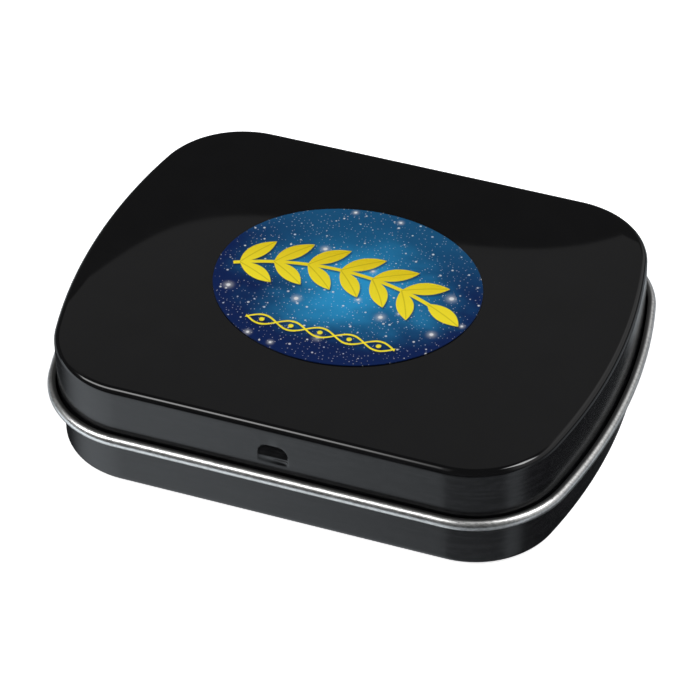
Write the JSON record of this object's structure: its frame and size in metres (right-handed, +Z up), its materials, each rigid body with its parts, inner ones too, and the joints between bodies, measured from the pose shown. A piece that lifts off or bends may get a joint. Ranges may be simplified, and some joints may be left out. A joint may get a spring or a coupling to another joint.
{
  "type": "hinged mint tin",
  "caption": "Small hinged tinplate box with rounded corners, a domed black lid, a rolled bare edge and an oval label.",
  "frame": {"origin": "middle of the tray's underside, on the surface that the tin stands on", "axes": "+X along the length, +Y towards the hinge at the back, +Z up"},
  "size_m": [0.0622, 0.0484, 0.0143],
  "materials": {
    "black_lacquer": "gloss black lacquer outside, bare tinplate inside and on the rolled edge",
    "label_print": "printed blue film with a low gloss"
  },
  "bodies": {
    "tray_base": {"tray": "black_lacquer"},
    "lid_body": {"lid": "black_lacquer", "oval_label": "label_print"}
  },
  "joints": [
    {"name": "lid_hinge", "type": "hinge", "parent": "tray_base", "child": "lid_body", "pos_m": [0, 0.02252, 0.00574], "axis": [-1, 0, 0], "range_deg": [0, 100]}
  ]
}
